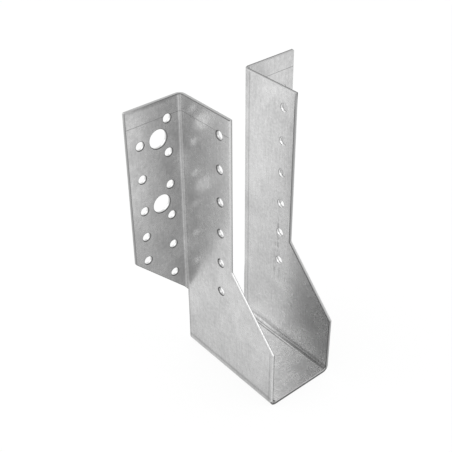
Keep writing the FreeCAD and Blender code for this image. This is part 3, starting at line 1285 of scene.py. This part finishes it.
    def dress(self, material: bpy.types.Material) -> None:
        """Build the finish's nodes.

        Args:
            material: The rolled faces' material.
        """
        tree = self.start(material)
        place = add_node(tree, "ShaderNodeTexCoord").outputs["Object"]
        blank = add_node(tree, "ShaderNodeUVMap", {"uv_map": BLANK_MAP}).outputs["UV"]
        number = {"data_type": "FLOAT"}
        grains = {NUMBER_A: self.mottle.pattern(tree, place), NUMBER_B: self.streak.pattern(tree, blank)}
        mixed = add_node(tree, "ShaderNodeMix", number, {SHARE: self.streak_share}, grains)
        fine = mixed.outputs[NUMBER_OUT]
        clouds = {NUMBER_A: fine, NUMBER_B: self.cloud.pattern(tree, place)}
        mixed = add_node(tree, "ShaderNodeMix", number, {SHARE: self.cloud_share}, clouds)
        patchy = mixed.outputs[NUMBER_OUT]
        low, high = self.dark_to_light
        limits = {"From Min": low, "From Max": high}
        tone = add_node(tree, "ShaderNodeMapRange", values=limits, links={"Value": patchy})
        colour = add_node(
            tree,
            "ShaderNodeMix",
            {"data_type": "RGBA"},
            {COLOUR_A: linear(self.dark), COLOUR_B: linear(self.light)},
            {SHARE: tone.outputs["Result"]},
        )
        low, high = self.rough_to_smooth
        limits = {"From Min": low, "From Max": high, "To Min": self.rough, "To Max": self.smooth}
        roughness = add_node(tree, "ShaderNodeMapRange", values=limits, links={"Value": patchy})
        relief = add_node(
            tree,
            "ShaderNodeBump",
            values={"Strength": self.bump_share, "Distance": self.bump},
            links={"Height": fine},
        )
        drivers = {
            "Base Color": self.marked(tree, blank, colour.outputs[COLOUR_OUT]),
            "Roughness": roughness.outputs["Result"],
            "Normal": relief.outputs["Normal"],
        }
        self.end(tree, {}, drivers)


@dataclass(frozen=True)
class CutSteel(Finish):
    """Bare steel where a blade or a punch went through the coated sheet.

    The stops give a place across the sheet's thickness and a grey. The speck is the grey of the fine
    scratches that the tool dragged through it.
    """

    stops: tuple[tuple[float, str], ...]
    roughness: float
    speck: str = "8F8F8F"
    grain: float = 0.6 * MM
    clean_to_speck: tuple[float, float] = (0.45, 0.75)
    speck_share: float = 0.6

    def dress(self, material: bpy.types.Material) -> None:
        """Build the finish's nodes.

        Args:
            material: The material of one kind of cut.
        """
        tree = self.start(material)
        place = add_node(tree, "ShaderNodeTexCoord").outputs["Object"]
        depth = add_node(tree, "ShaderNodeAttribute", {"attribute_name": DEPTH_MAP}).outputs["Fac"]
        bands = add_node(tree, "ShaderNodeValToRGB", links={"Fac": depth}, stops=self.stops)
        low, high = self.clean_to_speck
        share = add_node(
            tree,
            "ShaderNodeMapRange",
            values={"From Min": low, "From Max": high, "To Max": self.speck_share},
            links={"Value": Grain(self.grain, self.grain).pattern(tree, place)},
        )
        colour = add_node(
            tree,
            "ShaderNodeMix",
            {"data_type": "RGBA"},
            {COLOUR_B: linear(self.speck)},
            {SHARE: share.outputs["Result"], COLOUR_A: bands.outputs["Color"]},
        )
        self.end(tree, {"Roughness": self.roughness}, {"Base Color": colour.outputs[COLOUR_OUT]})


@dataclass(frozen=True)
class ScoredLine(Finish):
    """Line pressed into the zinc, coloured darker as painted shade in its groove.

    The eye reads a hairline, a little darker than the sheet.
    """

    name: str = "scored_zinc"
    # Painted shade of the groove.
    colour: str = "8D8D8D"
    roughness: float = 0.5

    def dress(self, material: bpy.types.Material) -> None:
        """Build the finish's nodes."""
        self.end(self.start(material), {"Roughness": self.roughness, "Base Color": linear(self.colour)}, {})


# Low-carbon steel sheared on a press. The eye reads a dull edge, dark where the blade entered and then paler.
SHEARED_EDGE = CutSteel(
    name="press_cut_steel",
    stops=((0.0, "525252"), (0.15, "6A6A6A"), (0.35, "9A9A9A"), (0.7, "ADADAD"), (1.0, "C4C4C4")),
    roughness=0.42,
)

# The same steel cropped to length across the coil. The eye reads a narrow dark line beside a pale band,
# shifted on each top end as painted light and shade.
CROPPED_END = CutSteel(
    name="cropped_steel",
    stops=((0.0, "5A5A5A"), (0.14, "666666"), (0.24, "A4A4A4"), (0.7, "B4B4B4"), (1.0, "DADADA")),
    roughness=0.38,
)

# The same sheared steel on the left wall's upright front edge. The eye reads a pale band of painted light
# with a dark line of painted shade at the inside.
LIT_UPRIGHT_EDGE = CutSteel(
    name="lit_upright_steel",
    stops=((0.0, "DADADA"), (0.6, "D6D6D6"), (0.72, "868686"), (1.0, "6C6C6C")),
    roughness=0.36,
)

# The same sheared steel on the left wall's sloping front edge. The eye reads a bright middle band, a
# painted highlight.
LIT_SLOPE_EDGE = CutSteel(
    name="lit_slope_steel",
    stops=(
        (0.0, "BCBCBC"),
        (0.34, "B8B8B8"),
        (0.45, "E4E4E4"),
        (0.68, "E4E4E4"),
        (0.78, "B0B0B0"),
        (1.0, "8C8C8C"),
    ),
    roughness=0.36,
)

# The same steel punched through. The eye reads a bright crescent that the punch burnished, and a thin dark
# rim on the side that it entered. The bands are painted lighter in the right side's holes and darker in the
# left side's, as light and shade.
PUNCHED_BORE = CutSteel(
    name="punched_steel",
    stops=((0.0, "626262"), (0.18, "6E6E6E"), (0.34, "C5C5C5"), (0.8, "D2D2D2"), (0.9, "FAFAFA")),
    roughness=0.28,
    speck="BCBCBC",
    grain=0.5 * MM,
)

FINISHES: dict[Layer, GalvanisedFace | CutSteel | ScoredLine] = {
    Layer.FACE: GalvanisedFace(),
    Layer.CUT: SHEARED_EDGE,
    Layer.SCORE: ScoredLine(),
    Layer.HOLE: PUNCHED_BORE,
    Layer.CROP: CROPPED_END,
    Layer.LIT_SLOPE: LIT_SLOPE_EDGE,
    Layer.LIT_UPRIGHT: LIT_UPRIGHT_EDGE,
}


@dataclass(frozen=True)
class SoftLamp:
    """A square soft lamp aimed at the hanger, at an angle round it and above it in degrees."""

    name: str
    azimuth: float
    elevation: float
    distance: float
    size: float
    power: float

    def build(self, target: Vector) -> None:
        """Hang the lamp, facing its target.

        Args:
            target: Point to aim at.
        """
        data = bpy.data.lights.new(self.name, "AREA")
        data.shape = "SQUARE"
        data.size = self.size
        data.energy = self.power
        lamp = bpy.data.objects.new(self.name, data)
        away = direction(self.azimuth, self.elevation)
        lamp.location = target + away * self.distance
        lamp.rotation_euler = (-away).to_track_quat("-Z", "Y").to_euler()
        bpy.context.scene.collection.objects.link(lamp)


@dataclass(frozen=True)
class Glow:
    """A brightness that eases from one value to another as a distance grows."""

    start: float
    end: float
    low: float
    high: float

    def over(self, tree: Tree, distance: Socket) -> Socket:
        """Add the change's nodes.

        Args:
            tree: Node tree to add to.
            distance: The distance.

        Returns:
            The brightness socket.
        """
        return add_node(
            tree,
            "ShaderNodeMapRange",
            {"interpolation_type": "SMOOTHSTEP"},
            {"From Min": self.start, "From Max": self.end, "To Min": self.low, "To Max": self.high},
            {"Value": distance},
        ).outputs["Result"]


def for_camera(tree: Tree, direct: float, other: Socket) -> Socket:
    """Add nodes that give camera rays a fixed value and all other rays their own.

    Args:
        tree: Node tree to add to.
        direct: What camera rays get.
        other: What all other rays get.

    Returns:
        The value socket.
    """
    path = add_node(tree, "ShaderNodeLightPath")
    rays = {SHARE: path.outputs["Is Camera Ray"], NUMBER_A: other}
    mixed = add_node(tree, "ShaderNodeMix", {"data_type": "FLOAT"}, {NUMBER_B: direct}, rays)
    return mixed.outputs[NUMBER_OUT]


@dataclass(frozen=True)
class Studio:
    """White floor, surroundings that are brighter behind than in front, and soft lamps.

    Metal shows what it mirrors, so the floor and the air have a brightness of their own for mirrored rays.
    The floor's is a little lower near the hanger, a painted shadow, and higher towards the back left, a
    painted pool of light. The camera sees both as plain white.
    """

    floor_size: float = 12.0
    floor_white: str = "F4F4F4"
    floor_seen: float = 0.9
    # What the metal mirrors of the floor: lower near the hanger as a painted shadow, and raised towards the
    # back left as a painted pool of light.
    floor_glow_with_painted_shadow: Glow = Glow(start=0.08, end=0.4, low=0.95, high=1.02)
    back_left: tuple[float, float, float] = (-0.7, 0.7, 0.0)
    back_left_painted_light: Glow = Glow(start=0.03, end=0.45, low=0.0, high=0.24)
    air_glow: Glow = Glow(start=-0.2, end=0.6, low=0.85, high=1.22)
    lamps: tuple[SoftLamp, ...] = (
        SoftLamp("key_front_right", azimuth=40.0, elevation=39.0, distance=1.6, size=1.5, power=5.8),
        SoftLamp("low_front_left", azimuth=-50.0, elevation=12.0, distance=1.6, size=1.0, power=3.8),
        SoftLamp("back_left", azimuth=-137.0, elevation=36.0, distance=1.8, size=2.0, power=10.0),
    )

    def mirrored(self, tree: Tree) -> Socket:
        """Add the floor's brightness as the metal mirrors it, with its painted shadow and painted pool of
        light.

        Args:
            tree: Node tree to add to.

        Returns:
            The brightness socket.
        """
        place = add_node(tree, "ShaderNodeTexCoord").outputs["Object"]
        reach = add_node(tree, "ShaderNodeVectorMath", {"operation": "LENGTH"}, links={0: place})
        aside = add_node(
            tree, "ShaderNodeVectorMath", {"operation": "DOT_PRODUCT"}, {1: self.back_left}, {0: place}
        )
        glows = {
            0: self.floor_glow_with_painted_shadow.over(tree, reach.outputs["Value"]),
            1: self.back_left_painted_light.over(tree, aside.outputs["Value"]),
        }
        return add_node(tree, "ShaderNodeMath", {"operation": "ADD"}, links=glows).outputs["Value"]

    def build_floor(self) -> Piece:
        """Lay the floor.

        Returns:
            The floor object.
        """
        deselect_all()
        bpy.ops.mesh.primitive_plane_add(size=self.floor_size, location=(0, 0, 0))
        floor = bpy.context.object
        floor.name = "studio_floor"
        material = bpy.data.materials.new("white_paper_sweep")
        material.use_nodes = True
        tree = material.node_tree
        tree.nodes.clear()
        path = add_node(tree, "ShaderNodeLightPath")
        rays = {0: path.outputs["Is Glossy Ray"], 1: path.outputs["Is Transmission Ray"]}
        bounced = add_node(tree, "ShaderNodeMath", {"operation": "MAXIMUM"}, links=rays).outputs["Value"]
        paper = add_node(tree, "ShaderNodeBsdfDiffuse", values={"Color": linear(self.floor_white)})
        glow = add_node(
            tree,
            "ShaderNodeEmission",
            values={"Color": linear(WHITE)},
            links={"Strength": for_camera(tree, 1.0, self.mirrored(tree))},
        )
        share = for_camera(tree, self.floor_seen, bounced)
        layers = {0: share, 1: paper.outputs["BSDF"], 2: glow.outputs["Emission"]}
        mixed = add_node(tree, "ShaderNodeMixShader", links=layers)
        add_node(tree, "ShaderNodeOutputMaterial", links={"Surface": mixed.outputs["Shader"]})
        floor.data.materials.append(material)
        return floor

    def build_world(self) -> None:
        """Light the surroundings, brighter at the back."""
        world = bpy.data.worlds.new("studio_air")
        world.use_nodes = True
        tree = world.node_tree
        tree.nodes.clear()
        ray = add_node(tree, "ShaderNodeTexCoord").outputs["Generated"]
        parts = add_node(tree, "ShaderNodeSeparateXYZ", links={"Vector": ray})
        air = add_node(
            tree,
            "ShaderNodeBackground",
            values={"Color": linear(WHITE)},
            links={"Strength": for_camera(tree, 1.0, self.air_glow.over(tree, parts.outputs["Y"]))},
        )
        add_node(tree, "ShaderNodeOutputWorld", links={"Surface": air.outputs["Background"]})
        bpy.context.scene.world = world

    def build(self, target: Vector) -> Piece:
        """Set up the floor, the surroundings and the lamps.

        Args:
            target: Point that the lamps face.

        Returns:
            The floor object.
        """
        self.build_world()
        for lamp in self.lamps:
            lamp.build(target)
        return self.build_floor()


@dataclass(frozen=True)
class PhotoCamera:
    """The photograph's camera, found from the hanger's own edges and holes."""

    azimuth: float = -39.72
    elevation: float = 35.45
    roll: float = -0.57
    place: tuple[float, float, float] = (-261.9 * MM, -287.3 * MM, 372.2 * MM)
    focal_pixels: float = 871.9
    frame_pixels: float = 452.0
    sensor: float = 36.0
    nearest: float = 10.0 * MM
    farthest: float = 20.0

    def build(self) -> None:
        """Add the camera and make it the scene's."""
        data = bpy.data.cameras.new("photo_camera")
        data.sensor_fit = "HORIZONTAL"
        data.sensor_width = self.sensor
        data.lens = self.focal_pixels * self.sensor / self.frame_pixels
        data.clip_start = self.nearest
        data.clip_end = self.farthest
        camera = bpy.data.objects.new("photo_camera", data)
        bpy.context.scene.collection.objects.link(camera)
        ahead = -direction(self.azimuth, self.elevation)
        aim = ahead.to_track_quat("-Z", "Y").to_matrix().to_4x4()
        roll = Matrix.Rotation(math.radians(self.roll), 4, "Z")
        camera.matrix_world = Matrix.Translation(Vector(self.place)) @ aim @ roll
        bpy.context.scene.camera = camera


def main() -> None:
    """Build the hanger, its finishes, the studio and the camera."""
    logging.basicConfig(level=logging.INFO, format="%(message)s")
    clear_start()
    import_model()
    strip = FoldedStrip(StripSizes.from_frame(), HoleLayout())
    piece = strip.build()
    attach(piece, BODY)
    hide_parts(NODE)
    for layer, finish in FINISHES.items():
        finish.dress(piece.data.materials[layer.value])
    LOG.info("%s: %d faces", piece.name, len(piece.data.polygons))
    floor = Studio().build(Vector((0, 0, strip.sizes.height / 2)))
    LOG.info("%s: laid", floor.name)
    PhotoCamera().build()
    bpy.context.scene.view_settings.view_transform = "Standard"


if __name__ == "__main__":
    main()
